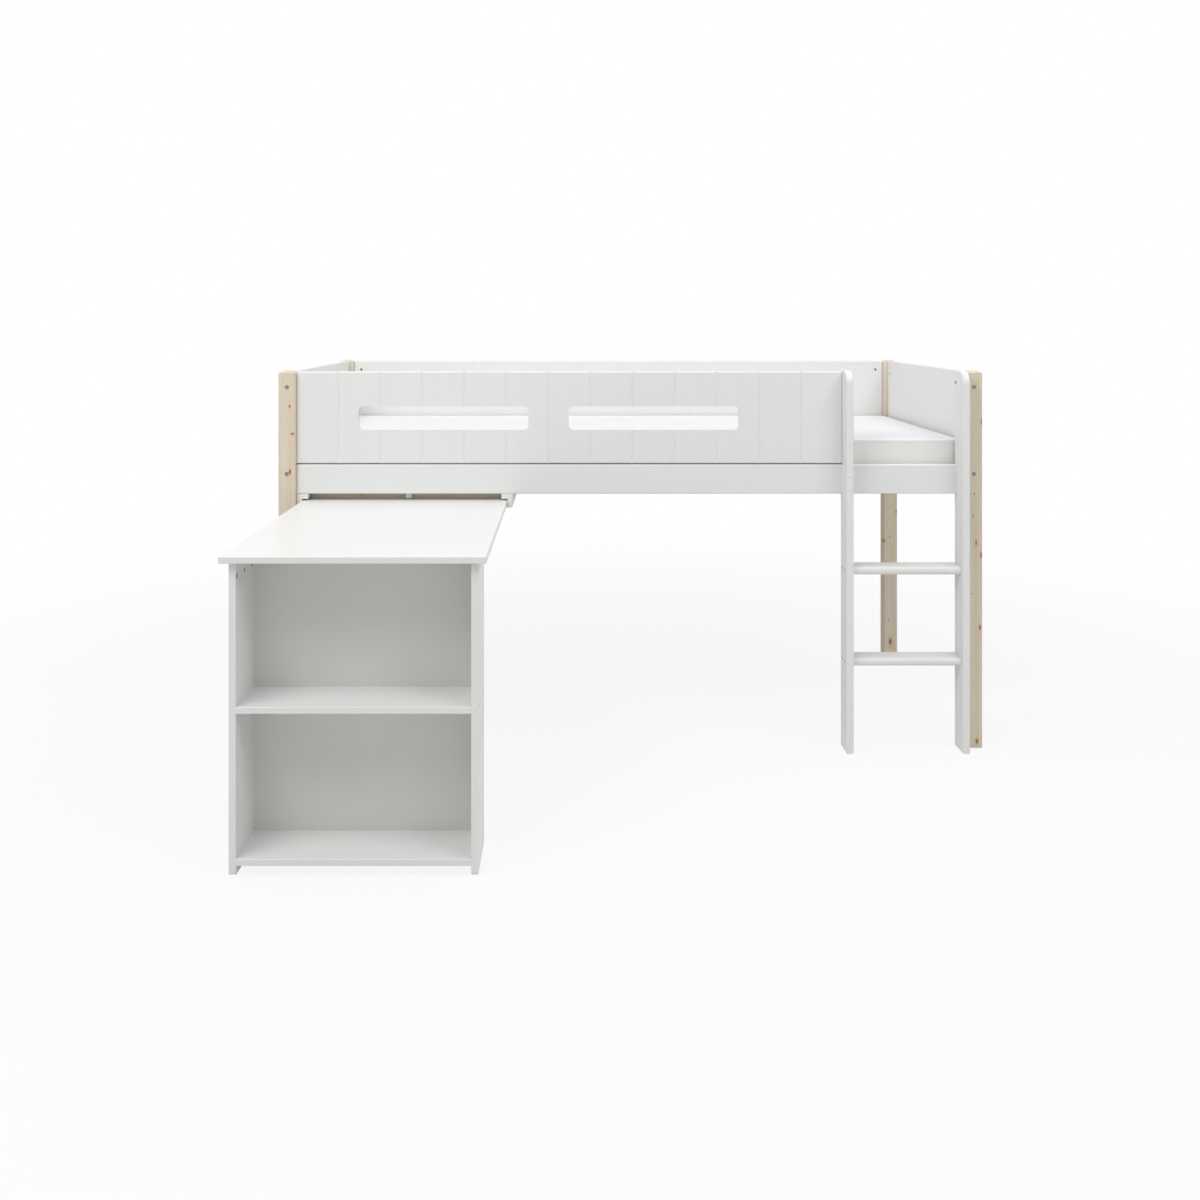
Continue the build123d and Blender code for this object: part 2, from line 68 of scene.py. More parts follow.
# %% The camera
camera_data = bpy.data.cameras.new("camera")
camera_data.sensor_width = 36
camera_data.lens = 35.91
camera_data.shift_x = 0.0222
camera_data.shift_y = -0.2338
camera = bpy.data.objects.new("camera", camera_data)
camera.location = (-0.170, -3.646, 1.2802)
camera.rotation_euler = (math.radians(90), 0, 0)
bpy.context.scene.collection.objects.link(camera)
bpy.context.scene.camera = camera
print("camera at", tuple(round(v, 3) for v in camera.location))

# %% [markdown]
# Node trees are written with three small helpers. `add` makes any node, sets its properties and fills its
# inputs, from a plain value or from another node's output. `maths` is one step of arithmetic, and `mix` goes
# from one colour to another. Nodes that several materials share are put in a node group, which is built once.

# %% Helpers for node trees
def fill(tree, socket, value):
    """Link a socket to another node's output, or give it a plain value."""
    if isinstance(value, bpy.types.NodeSocket):
        tree.links.new(value, socket)
    else:
        socket.default_value = value


def add(tree, kind, inputs=None, **settings):
    """A new node with its properties set and its inputs filled."""
    node = tree.nodes.new(kind)
    for name, value in settings.items():
        setattr(node, name, value)
    for name, value in (inputs or {}).items():
        fill(tree, node.inputs[name], value)
    return node


def maths(tree, operation, *values):
    """One step of arithmetic on numbers or outputs."""
    node = tree.nodes.new("ShaderNodeMath")
    node.operation = operation
    for socket, value in zip(node.inputs, values):
        fill(tree, socket, value)
    return node.outputs[0]


def ramp(tree, value, low, high, out_low=0.0, out_high=1.0):
    """A smooth change from out_low to out_high as a value goes from low to high."""
    inputs = {"Value": value, "From Min": low, "From Max": high, "To Min": out_low, "To Max": out_high}
    return add(tree, "ShaderNodeMapRange", inputs, interpolation_type="SMOOTHSTEP").outputs["Result"]


def mix(tree, share, first, second):
    """A colour on the way from the first to the second."""
    node = add(tree, "ShaderNodeMix", data_type="RGBA")
    fill(tree, node.inputs[0], share)
    fill(tree, node.inputs[6], first)
    fill(tree, node.inputs[7], second)
    return node.outputs[2]


def noise(tree, vector, scale, stretch=(1, 1, 1), detail=2.0):
    """Soft random values from 0 to 1. A small number in stretch draws them out along that axis."""
    spread = add(tree, "ShaderNodeMapping", {"Vector": vector, "Scale": stretch})
    inputs = {"Vector": spread.outputs[0], "Scale": scale, "Detail": detail}
    return add(tree, "ShaderNodeTexNoise", inputs).outputs["Fac"]


def new_group(name, inputs, outputs):
    """An empty node group with named sockets. Returns its tree, its inputs and its outputs."""
    tree = bpy.data.node_groups.new(name, "ShaderNodeTree")
    for label, kind, value in inputs:
        socket = tree.interface.new_socket(label, in_out="INPUT", socket_type="NodeSocket" + kind)
        if value is not None:
            socket.default_value = value
    for label, kind in outputs:
        tree.interface.new_socket(label, in_out="OUTPUT", socket_type="NodeSocket" + kind)
    entry = tree.nodes.new("NodeGroupInput")
    leave = tree.nodes.new("NodeGroupOutput")
    return tree, entry.outputs, leave.inputs


def use(tree, group, inputs):
    """A node group placed in a material, with its own values."""
    node = add(tree, "ShaderNodeGroup", node_tree=group)
    for name, value in inputs.items():
        fill(tree, node.inputs[name], value)
    return node.outputs


def new_material(name, **values):
    """A material with one Principled shader, whose plain values are set on its own sockets."""
    material = bpy.data.materials.new(name)
    material.use_nodes = True
    shader = material.node_tree.nodes["Principled BSDF"]
    for label, value in values.items():
        shader.inputs[label.replace("_", " ")].default_value = value
    return material, material.node_tree, shader


def color(red, green, blue):
    """A colour given as 0 to 255 values of the screen, as the linear values that nodes take."""
    share = np.array([red, green, blue]) / 255
    linear = np.where(share > 0.04045, ((share + 0.055) / 1.055) ** 2.4, share / 12.92)
    return (*linear.tolist(), 1.0)


print("white on screen", color(255, 255, 255))

# %% [markdown]
# Pine. A board is cut from a round trunk, so its grain is a set of rings round the trunk's middle, seen
# from the side. Working the pattern out in space, instead of painting it on, makes the lines on a post's
# face meet the rings on its end, as in real wood. Pale early wood ends in a thin dark line of late wood.
# The distance to the middle wavers slowly along the trunk, and grows near a knot, which bends the lines
# round it. Long streaks and fine fibres lie over it all. The pine here is untreated, pale and dull.

# %% Pine grain as a node group
pine_grain, entry, leave = new_group(
    "pine grain",
    [("Vector", "Vector", None), ("Ring Width", "Float", 0.0042),
     ("Knot", "Float", 0.0), ("Halo", "Float", 0.0),
     ("Early Wood", "Color", color(230, 222, 206)), ("Late Wood", "Color", color(204, 186, 156)),
     ("Streak", "Color", color(221, 203, 185)), ("Knot Color", "Color", color(140, 102, 55)),
     ("Halo Color", "Color", color(210, 174, 120))],
    [("Color", "Color"), ("Roughness", "Float"), ("Height", "Float")])
waver = noise(pine_grain, entry["Vector"], 9.0, (1, 1, 0.18), 1.0)
parts = add(pine_grain, "ShaderNodeSeparateXYZ", {"Vector": entry["Vector"]}).outputs
across = maths(pine_grain, "ADD", maths(pine_grain, "MULTIPLY", parts[0], parts[0]),
               maths(pine_grain, "MULTIPLY", parts[1], parts[1]))
distance = maths(pine_grain, "SQRT", across)
distance = maths(pine_grain, "MULTIPLY_ADD", waver, 0.016, distance)
distance = maths(pine_grain, "MULTIPLY_ADD", entry["Halo"], 0.0045, distance)
ring = maths(pine_grain, "FRACT", maths(pine_grain, "DIVIDE", distance, entry["Ring Width"]))
late = maths(pine_grain, "MULTIPLY", ramp(pine_grain, ring, 0.35, 0.92),
             ramp(pine_grain, ring, 0.93, 1.0, 1, 0))
streak = noise(pine_grain, entry["Vector"], 70.0, (1, 1, 0.03), 2.0)
fibre = noise(pine_grain, entry["Vector"], 900.0, (1, 1, 0.02), 2.0)
cloud = noise(pine_grain, entry["Vector"], 14.0, (1, 1, 0.15), 1.0)
tone = mix(pine_grain, maths(pine_grain, "MULTIPLY", late, 0.5), entry["Early Wood"], entry["Late Wood"])
tone = mix(pine_grain, ramp(pine_grain, streak, 0.38, 0.68, 0, 0.75), tone, entry["Streak"])
tone = mix(pine_grain, ramp(pine_grain, cloud, 0.3, 0.75, 0, 0.25), tone, entry["Late Wood"])
tone = mix(pine_grain, ramp(pine_grain, fibre, 0.45, 0.8, 0, 0.14), tone, entry["Late Wood"])
tone = mix(pine_grain, ramp(pine_grain, entry["Halo"], 0.2, 1.1, 0, 0.6), tone, entry["Halo Color"])
fill(pine_grain, leave["Color"], mix(pine_grain, entry["Knot"], tone, entry["Knot Color"]))
fill(pine_grain, leave["Roughness"], maths(pine_grain, "MULTIPLY_ADD", entry["Knot"], -0.18, 0.66))
relief = maths(pine_grain, "MULTIPLY_ADD", late, 0.5, maths(pine_grain, "MULTIPLY", fibre, 0.5))
fill(pine_grain, leave["Height"], maths(pine_grain, "MULTIPLY_ADD", entry["Knot"], -0.5, relief))
print("made", pine_grain.name, "with", len(pine_grain.nodes), "nodes")

# %% [markdown]
# Knots are where branches left the trunk: a dark heart in a paler halo. Two kinds are needed. Those on the
# front posts stand where they are on the real bed, so a group measures the distance to a given place. The
# rest of the pine gets scattered ones: the cells of a Voronoi pattern each have a middle, and the random
# colour of a cell decides whether a knot sits there and how large it is.

# %% Knots as node groups
one_knot, entry, leave = new_group(
    "pine knot", [("Vector", "Vector", None), ("Place", "Vector", None), ("Size", "Vector", None)],
    [("Heart", "Float"), ("Halo", "Float")])
offset = add(one_knot, "ShaderNodeVectorMath", {0: entry["Vector"], 1: entry["Place"]}, operation="SUBTRACT")
offset = add(one_knot, "ShaderNodeVectorMath", {0: offset.outputs[0], 1: entry["Size"]}, operation="DIVIDE")
away = add(one_knot, "ShaderNodeVectorMath", {0: offset.outputs[0]}, operation="LENGTH").outputs["Value"]
ragged = maths(one_knot, "MULTIPLY_ADD", noise(one_knot, entry["Vector"], 400.0), 0.4, away)
fill(one_knot, leave["Heart"], ramp(one_knot, ragged, 0.9, 1.5, 1, 0))
fill(one_knot, leave["Halo"], ramp(one_knot, away, 0.8, 3.4, 1, 0))

scattered_knots, entry, leave = new_group(
    "scattered knots", [("Vector", "Vector", None), ("Share", "Float", 0.3)],
    [("Heart", "Float"), ("Halo", "Float")])
cells = add(scattered_knots, "ShaderNodeMapping", {"Vector": entry["Vector"], "Scale": (19, 19, 8)})
cell = add(scattered_knots, "ShaderNodeTexVoronoi", {"Vector": cells.outputs[0], "Scale": 1.0})
chance = add(scattered_knots, "ShaderNodeSeparateColor", {"Color": cell.outputs["Color"]}).outputs
bare = maths(scattered_knots, "SUBTRACT", 1.0, entry["Share"])
size = ramp(scattered_knots, chance[0], bare, 1.0, 0.0, 0.13)
reach = maths(scattered_knots, "DIVIDE", cell.outputs["Distance"],
              maths(scattered_knots, "MAXIMUM", size, 0.01))
fill(scattered_knots, leave["Heart"], ramp(scattered_knots, reach, 0.6, 1.1, 1, 0))
fill(scattered_knots, leave["Halo"], ramp(scattered_knots, reach, 0.6, 3.0, 1, 0))
print("made", one_knot.name, "and", scattered_knots.name)

# %% [markdown]
# Each pine piece gets the grain along its own length. A Mapping node turns the piece's coordinates so that
# its length is the trunk's axis, and moves the trunk's middle to a place outside the piece, because posts
# and boards are sawn from the side of a trunk. The slats are one group of pieces, so a random number
# for each pitch along the bed gives every slat a trunk of its own.

# %% Pine materials
TURN_TO_Z = {"x": (0, math.radians(-90), 0), "y": (math.radians(90), 0, 0), "z": (0, 0, 0)}
KNOT_DEPTH = 0.03


def grain_vector(tree, grain, middle=(0, 0)):
    """The piece's coordinates, turned so that its grain runs along Z, with the trunk's middle at zero."""
    place = add(tree, "ShaderNodeTexCoord").outputs["Object"]
    inputs = {"Vector": place, "Rotation": TURN_TO_Z[grain], "Location": (-middle[0], -middle[1], 0)}
    return place, add(tree, "ShaderNodeMapping", inputs).outputs[0]


def make_pine(name, grain, middle, knots=(), pitch=None, share=0.3):
    """Pine with its grain along one axis. knots are (place, size, strength), in metres.

    share is the part of the scattered cells that hold a knot, and pitch the spacing of a row of boards.
    """
    material, tree, shader = new_material(name, Specular_IOR_Level=0.3)
    place, turned = grain_vector(tree, grain, middle)
    if pitch:
        along = add(tree, "ShaderNodeSeparateXYZ", {"Vector": place}).outputs[0]
        board = maths(tree, "FLOOR", maths(tree, "DIVIDE", along, pitch))
        chance = add(tree, "ShaderNodeTexWhiteNoise", {"W": board}, noise_dimensions="1D").outputs["Color"]
        turned = add(tree, "ShaderNodeVectorMath", {0: chance, 1: (0.3, 0.2, 2.0), 2: turned},
                     operation="MULTIPLY_ADD").outputs[0]
    found = use(tree, scattered_knots, {"Vector": turned, "Share": share})
    heart, halo = found["Heart"], found["Halo"]
    for spot, size, strength in knots:
        seen = use(tree, one_knot, {"Vector": place, "Place": spot, "Size": size})
        heart = maths(tree, "MAXIMUM", heart, maths(tree, "MULTIPLY", seen["Heart"], strength))
        halo = maths(tree, "MAXIMUM", halo, maths(tree, "MULTIPLY", seen["Halo"], strength))
    grained = use(tree, pine_grain, {"Vector": turned, "Knot": heart, "Halo": halo})
    fill(tree, shader.inputs["Base Color"], grained["Color"])
    fill(tree, shader.inputs["Roughness"], grained["Roughness"])
    bump = add(tree, "ShaderNodeBump", {"Height": grained["Height"], "Strength": 0.35, "Distance": 0.0006})
    fill(tree, shader.inputs["Normal"], bump.outputs[0])
    return material


def spots(face, seen):
    """Knots on a post's face, from millimetres across, up, half width and half height, and strength."""
    return [((x * MM, face, z * MM), (wide * MM, KNOT_DEPTH, high * MM), strength)
            for x, z, wide, high, strength in seen]


front_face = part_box("post_front_left")[0].y
back_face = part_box("post_back_left")[0].y
left_knots = spots(front_face, [
    (-1016.2, 1021, 2.0, 4.2, 1.0), (-1007.2, 939, 4.6, 3.4, 0.8), (-1015, 825.5, 2.8, 6.5, 1.0),
    (-1031, 560, 2.6, 4.4, 0.6), (-1012, 300, 3.2, 5, 0.7)])
right_knots = spots(front_face, [
    (1048, 975, 2.2, 8.5, 0.9), (1042.6, 886, 1.8, 3, 0.4), (1012, 761, 2.0, 4.4, 0.7),
    (1026, 760, 2.0, 3.0, 0.6), (1022, 693, 1.8, 6.5, 0.45), (1031, 614, 2.6, 7.5, 0.7),
    (1046, 578, 2.6, 9.0, 0.85), (1019, 462, 2.6, 2.6, 0.45), (1042, 362, 3.2, 7.5, 0.8),
    (1024, 190, 2.2, 3.0, 0.35), (1033, 23, 4.0, 6.5, 0.85)])
back_right_knots = spots(back_face, [
    (1000, 447, 4.0, 5.5, 0.8), (1021, 461, 2.6, 3.4, 0.6), (1046, 557, 3.0, 7.0, 0.6),
    (1020, 735, 2.4, 5, 0.6)])
pines = {
    "post_front_left": make_pine("pine front left", "z", (-1.12, 0.05), left_knots, share=0.1),
    "post_front_right": make_pine("pine front right", "z", (0.92, 0.06), right_knots, share=0.1),
    "post_back_left": make_pine("pine back left", "z", (-0.93, 0.98), share=0.25),
    "post_back_right": make_pine("pine back right", "z", (1.13, 0.99), back_right_knots, share=0.2),
    "bed_slats": make_pine("pine slats", "y", (0.02, 0.70), pitch=0.14),
    "desk_stop_batten": make_pine("pine batten", "x", (0.84, 0.06)),
}
pine_along = make_pine("pine along the bed", "x", (0.83, 0.42))
for name in ("ledger_front", "ledger_back", "bed_dowels", "desk_dowels"):
    pines[name] = pine_along
print("pine pieces:", len(pines))

# %% [markdown]
# White lacquer and white board. The rails, panels and ladder are solid wood under a sprayed satin lacquer:
# the grain still shows as a very faint relief, and the lacquer itself has a fine ripple, like the
# skin of an orange. The desk is flat board with a smoother and slightly pearly skin. Both use one group, with
# more or less grain. Its colour hardly varies, because clean white furniture lives from its shading.

# %% Lacquer as a node group, and its materials
lacquer, entry, leave = new_group(
    "lacquer", [("Vector", "Vector", None), ("White", "Color", None), ("Grain", "Float", 1.0)],
    [("Color", "Color"), ("Roughness", "Float"), ("Height", "Float")])
pores = noise(lacquer, entry["Vector"], 420.0, (1, 1, 0.03), 2.0)
bands = noise(lacquer, entry["Vector"], 60.0, (1, 1, 0.05), 2.0)
ripple = noise(lacquer, entry["Vector"], 520.0, (1, 1, 1), 1.0)
patch = noise(lacquer, entry["Vector"], 5.0, (1, 1, 0.5), 2.0)
lines = maths(lacquer, "ADD", maths(lacquer, "MULTIPLY", pores, 0.6), maths(lacquer, "MULTIPLY", bands, 0.8))
grain = maths(lacquer, "MULTIPLY", entry["Grain"], lines)
shadow = maths(lacquer, "MULTIPLY", ramp(lacquer, bands, 0.4, 0.8, 0, 0.10), entry["Grain"])
warm = mix(lacquer, ramp(lacquer, patch, 0.3, 0.8, 0, 0.3), entry["White"], color(230, 230, 227))
fill(lacquer, leave["Color"], mix(lacquer, shadow, warm, color(214, 214, 210)))
fill(lacquer, leave["Roughness"], ramp(lacquer, patch, 0.2, 0.8, 0.36, 0.46))
fill(lacquer, leave["Height"], maths(lacquer, "MULTIPLY_ADD", ripple, 0.5, grain))


def make_white(name, white, grain, axis, bump, **values):
    """White lacquer or board, with its grain along one axis and a relief of a given strength."""
    material, tree, shader = new_material(name, **values)
    turned = grain_vector(tree, axis)[1]
    skin = use(tree, lacquer, {"Vector": turned, "White": white, "Grain": grain})
    fill(tree, shader.inputs["Base Color"], skin["Color"])
    fill(tree, shader.inputs["Roughness"], skin["Roughness"])
    relief = add(tree, "ShaderNodeBump", {"Height": skin["Height"], "Strength": bump, "Distance": 0.0003})
    fill(tree, shader.inputs["Normal"], relief.outputs[0])
    return material


clean_white = color(231, 231, 230)
lacquers = {axis: make_white("white lacquer " + axis, clean_white, 1.0, axis, 0.12) for axis in "xyz"}
board_white = make_white("white board", clean_white, 0.1, "y", 0.08)
# The desk's back board takes a darker copy of the white board: painted shade for its recess under the
# desktop.
shaded_back_board_white = make_white("white board in painted shade", color(217, 218, 214), 0.1, "z", 0.08)
lacquer_axes = {"rail_front": "x", "rail_back": "x", "ladder_step_lower": "x", "ladder_step_upper": "x",
                "runner_left": "y", "runner_right": "y"}
print("white finishes:", len(lacquers) + 2)

# %% [markdown]
# Zinc-plated steel and plastic. The bolts, nuts, cams and screws are small, so what shows is a grey metal
# with a slightly cloudy gloss and a fine unevenness. The glides under the feet are dull grey plastic, and
# the caps over the ladder's screws are white plastic.

# %% Metal and plastic
cloudy, entry, leave = new_group(
    "cloudy surface", [("Vector", "Vector", None), ("Scale", "Float", 300.0), ("Dark", "Color", None),
                       ("Light", "Color", None), ("Smooth", "Float", 0.25), ("Rough", "Float", 0.45)],
    [("Color", "Color"), ("Roughness", "Float"), ("Height", "Float")])
inputs = {"Vector": entry["Vector"], "Scale": entry["Scale"], "Detail": 3.0}
spread = add(cloudy, "ShaderNodeTexNoise", inputs).outputs["Fac"]
fine = noise(cloudy, entry["Vector"], 2500.0)
tone = mix(cloudy, ramp(cloudy, spread, 0.3, 0.7), entry["Dark"], entry["Light"])
fill(cloudy, leave["Color"], tone)
dulling = maths(cloudy, "MULTIPLY", spread, maths(cloudy, "SUBTRACT", entry["Rough"], entry["Smooth"]))
fill(cloudy, leave["Roughness"], maths(cloudy, "ADD", entry["Smooth"], dulling))
fill(cloudy, leave["Height"], maths(cloudy, "MULTIPLY_ADD", fine, 0.5, spread))


def make_cloudy(name, dark, light, smooth, rough, scale, bump, **values):
    """A metal or plastic whose tone and gloss vary a little."""
    material, tree, shader = new_material(name, **values)
    place = add(tree, "ShaderNodeTexCoord").outputs["Object"]
    skin = use(tree, cloudy, {"Vector": place, "Scale": scale, "Dark": dark, "Light": light,
                              "Smooth": smooth, "Rough": rough})
    fill(tree, shader.inputs["Base Color"], skin["Color"])
    fill(tree, shader.inputs["Roughness"], skin["Roughness"])
    relief = add(tree, "ShaderNodeBump", {"Height": skin["Height"], "Strength": bump, "Distance": 0.0002})
    fill(tree, shader.inputs["Normal"], relief.outputs[0])
    return material


zinc = make_cloudy("zinc plate", color(120, 121, 121), color(168, 169, 169), 0.25, 0.5, 300.0, 0.2,
                   Metallic=1.0)
glide_plastic = make_cloudy("grey plastic", color(112, 112, 112), color(136, 136, 135), 0.5, 0.65, 500.0, 0.1)
cap_plastic = make_cloudy("white plastic", color(226, 226, 223), color(232, 232, 229), 0.38, 0.5, 500.0, 0.05)
print("small finishes: zinc, grey plastic, white plastic")

# %% [markdown]
# The record says which finish each CAD piece has, so one loop hands out the materials. A piece keeps its
# mesh; only its material slot is filled anew.

# %% Dress the CAD pieces
plain_finishes = {"white_board": board_white, "zinc_steel": zinc, "grey_plastic": glide_plastic}
dressed = 0
for part in frame["record"]["subparts"]:
    name, slot = part["node"], part["material_slot"]
    finish = plain_finishes.get(slot)
    if slot == "white_lacquer":
        finish = lacquers[lacquer_axes.get(name, "z")]
    if slot == "natural_pine":
        finish = pines[name]
    # The back board gets that darker white, painted shade for its recess.
    if name == "desk_back_board":
        finish = shaded_back_board_white
    if finish:
        nodes[name].data.materials.clear()
        nodes[name].data.materials.append(finish)
        dressed += 1
print("dressed:", dressed, "of", len(nodes))

# %% [markdown]
# New pieces are grids of points. A grid of rows and columns becomes a mesh when each cell gets its face,
# and a closed outline is a grid whose last column meets the first. Several grids may share a border: once
# they are in one mesh, points that lie on each other are merged, and the faces are turned to look
# outwards.

# %% Helpers for meshes
MERGE_WITHIN = 1e-6


def grid_faces(rows, columns, closed=False):
    """The four corners of each cell of a grid, as rows of point numbers."""
    number = np.arange(rows * columns).reshape(rows, columns)
    if closed:
        number = np.hstack([number, number[:, :1]])
    return np.stack([number[:-1, :-1], number[1:, :-1], number[1:, 1:], number[:-1, 1:]], -1).reshape(-1, 4)


def make_piece(name, grids, material, body):
    """A mesh from grids of (points, faces, flat coordinates), merged along their borders."""
    points, faces, flat, start = [], [], [], 0
    for place, cells, cloth in grids:
        place = place.reshape(-1, 3)
        points.append(place)
        faces.append(cells + start)
        flat.append(cloth.reshape(-1, 2))
        start += len(place)
    points, faces, flat = np.concatenate(points), np.concatenate(faces), np.concatenate(flat)
    mesh = bpy.data.meshes.new(name)
    mesh.from_pydata(points.tolist(), [], faces.tolist())
    layer = mesh.uv_layers.new(name="cloth")
    layer.data.foreach_set("uv", flat[faces.ravel()].astype(np.float32).ravel())
    tidy = bmesh.new()
    tidy.from_mesh(mesh)
    bmesh.ops.remove_doubles(tidy, verts=tidy.verts, dist=MERGE_WITHIN)
    bmesh.ops.recalc_face_normals(tidy, faces=tidy.faces)
    tidy.to_mesh(mesh)
    tidy.free()
    mesh.shade_smooth()
    mesh.materials.append(material)
    piece = bpy.data.objects.new(name, mesh)
    bpy.context.scene.collection.objects.link(piece)
    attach(piece, body)
    return piece


print("grid of 3 by 3 points has", len(grid_faces(3, 3)), "faces")

# %% [markdown]
# The cover's fabric. A mattress cover is a fine knit: columns of small loops that look like rows of the
# letter V. The pattern is worked out on the piece's own flat coordinates, in metres, so it follows the cloth
# over the edges. The same group, with other sizes, gives the woven strap under the slats its ribs.

# %% Knit and webbing
knit, entry, leave = new_group(
    "knit", [("Vector", "Vector", None), ("Column", "Float", 0.0016), ("Row", "Float", 0.0012),
             ("Slant", "Float", 0.5), ("Light", "Color", None), ("Dark", "Color", None)],
    [("Color", "Color"), ("Height", "Float")])
flat = add(knit, "ShaderNodeSeparateXYZ", {"Vector": entry["Vector"]}).outputs
column = maths(knit, "DIVIDE", flat[0], entry["Column"])
side = maths(knit, "ABSOLUTE", maths(knit, "SUBTRACT", maths(knit, "FRACT", column), 0.5))
row = maths(knit, "MULTIPLY_ADD", side, entry["Slant"], maths(knit, "DIVIDE", flat[1], entry["Row"]))
loop = maths(knit, "SINE", maths(knit, "MULTIPLY", row, math.tau))
rib = maths(knit, "COSINE", maths(knit, "MULTIPLY", maths(knit, "SUBTRACT", side, 0.25), math.tau))
height = maths(knit, "MULTIPLY_ADD", loop, 0.25, maths(knit, "MULTIPLY_ADD", rib, 0.35, 0.4))
fill(knit, leave["Height"], height)
# The colour goes towards Dark in the low parts between loops and ribs: painted shade in the hollows of the
# knit and the webbing.
fill(knit, leave["Color"], mix(knit, ramp(knit, height, 0.0, 0.7), entry["Dark"], entry["Light"]))

BAND_EDGE = 0.002


def make_cloth(name, column, row, slant, light, dark, bump, depth, band=None, **values):
    """Cloth on a piece's flat coordinates, with soft clouds of tone on top of the stitches.

    band is a height and a colour: below that height the cloth takes most of that colour, painted shade on the
    sides.
    """
    material, tree, shader = new_material(name, **values)
    flat = add(tree, "ShaderNodeUVMap", uv_map="cloth").outputs[0]
    cloth = use(tree, knit, {"Vector": flat, "Column": column, "Row": row, "Slant": slant,
                             "Light": light, "Dark": dark})
    place = add(tree, "ShaderNodeTexCoord").outputs["Object"]
    cloud = ramp(tree, noise(tree, place, 6.0), 0.3, 0.8, 0, 0.35)
    tone = mix(tree, cloud, cloth["Color"], dark)
    if band:
        up = add(tree, "ShaderNodeSeparateXYZ", {"Vector": place}).outputs[2]
        tone = mix(tree, ramp(tree, up, band[0] - BAND_EDGE, band[0] + BAND_EDGE, 0.7, 0.0), tone, band[1])
    fill(tree, shader.inputs["Base Color"], tone)
    fill(tree, shader.inputs["Roughness"], ramp(tree, noise(tree, place, 220.0), 0.3, 0.7, 0.78, 0.92))
    relief = add(tree, "ShaderNodeBump", {"Height": cloth["Height"], "Strength": bump, "Distance": depth})
    fill(tree, shader.inputs["Normal"], relief.outputs[0])
    return material


# Below the top edge the mattress's sides take a greyer, warmer white: painted shade on the sides.
side_shade_band = (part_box("mattress")[1].z - 0.010, color(239, 239, 234))
cover_cloth = make_cloth("mattress knit", 0.0016, 0.0012, 1.2, color(242, 242, 245), color(229, 229, 230),
                         0.35, 0.0004, side_shade_band, Sheen_Weight=0.15, Specular_IOR_Level=0.2)
piping_cloth = make_cloth("piping knit", 0.0012, 0.0012, 2.0, color(243, 243, 245), color(226, 226, 226), 0.4,
                          0.0004, Sheen_Weight=0.15, Specular_IOR_Level=0.2)
webbing = make_cloth("webbing", 0.0022, 0.0012, 0.8, color(222, 220, 212), color(188, 186, 178), 0.6, 0.0005,
                     Specular_IOR_Level=0.25)
print("cloths: knit, piping, webbing")

# %% [markdown]
# The mattress: a firm foam core in a knitted cover, 2000 by 900 mm. It could be swollen from a box by a
# cloth simulation, but a tight cover on foam keeps a shape that formulas give more exactly. The bottom is
# flat, and the top has a low crown and slow dips from lying. Both roll over the edge into a seam with a
# thin piping, and the side band between the seams draws in a little, most at half height. Small puckers
# run along the seams, where the thread pulls the cloth together.

# %% Shape of the mattress
mattress_low, mattress_high = (np.array(corner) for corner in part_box("mattress"))
middle = (mattress_low + mattress_high) / 2
HALF = (mattress_high - mattress_low)[:2] / 2
CORNER = 0.024
ROLL = 0.005
CROWN = 0.006
FLAT_INSET = 0.20
EDGE_TOP = mattress_high[2] - CROWN
EDGE_LOW = mattress_low[2]
SEAM_DROP = 0.009
DRAW_IN = 0.002
PIPING = 0.0016
PIPING_SUNK = 0.0011
DIP_DEPTH = 0.0006
SEAM_DIP = 0.0014
SEAM_HALF_WIDTH = 0.0020
SEAM_ZONE = 0.024
PUCKER_HEIGHT = 0.00045
PUCKER_LENGTH = 0.022
PUCKER_FADE = 0.012
GRID_STEP = 0.0125
SIDE_ROWS = 12


def spacing(half, corner, step):
    """Positions from one side to the other, close together at the corners and a step apart between."""
    fine = np.linspace(-half, -half + corner, 9)
    count = max(2, int(round(2 * (half - corner) / step)))
    return np.concatenate([fine[:-1], np.linspace(-half + corner, half - corner, count + 1), -fine[-2::-1]])


def round_plan(x, y, half, corner):
    """Bends a rectangle's corners round: there u and v become u sqrt(1 - v v / 2) and v sqrt(1 - u u / 2)."""
    u = np.clip((np.abs(x) - half[0] + corner) / corner, 0, 1)
    v = np.clip((np.abs(y) - half[1] + corner) / corner, 0, 1)
    round_u, round_v = u * np.sqrt(1 - v * v / 2), v * np.sqrt(1 - u * u / 2)
    new_x = np.sign(x) * (np.minimum(np.abs(x), half[0] - corner) + corner * round_u)
    new_y = np.sign(y) * (np.minimum(np.abs(y), half[1] - corner) + corner * round_v)
    out = np.stack([np.sign(x) * round_u, np.sign(y) * round_v], -1)
    length = np.linalg.norm(out, axis=-1, keepdims=True)
    return new_x, new_y, out / np.maximum(length, 1e-9)


def ease(distance, length):
    """Rises from 0 at the edge to 1 and slows to nothing: 1 minus the square of what is left."""
    return 1 - (1 - np.clip(distance / length, 0, 1)) ** 2


def sheet_height(x, y, crown):
    """The crown over a sheet, plus slow dips: a sum of a few sine waves that fade at the edge."""
    inside = HALF - ROLL
    rise = ease(inside[0] - np.abs(x), FLAT_INSET) * ease(inside[1] - np.abs(y), FLAT_INSET)
    dips = (np.sin(5.1 * x + 0.7) * np.sin(6.3 * y + 1.1)
            + 0.6 * np.sin(11.7 * x + 2.0) * np.sin(9.1 * y - 0.4)
            + 0.35 * np.sin(23.0 * x - 1.3) * np.sin(17.0 * y + 2.2))
    return crown * rise + DIP_DEPTH * rise * dips


def puckers(along, distance):
    """Small waves along a seam, about 22 mm long, that fade within a thumb's width of it."""
    wave = np.sin(along * math.tau / PUCKER_LENGTH + 2.5 * np.sin(along * math.tau / 0.31))
    return PUCKER_HEIGHT * wave * np.exp(-distance / PUCKER_FADE)


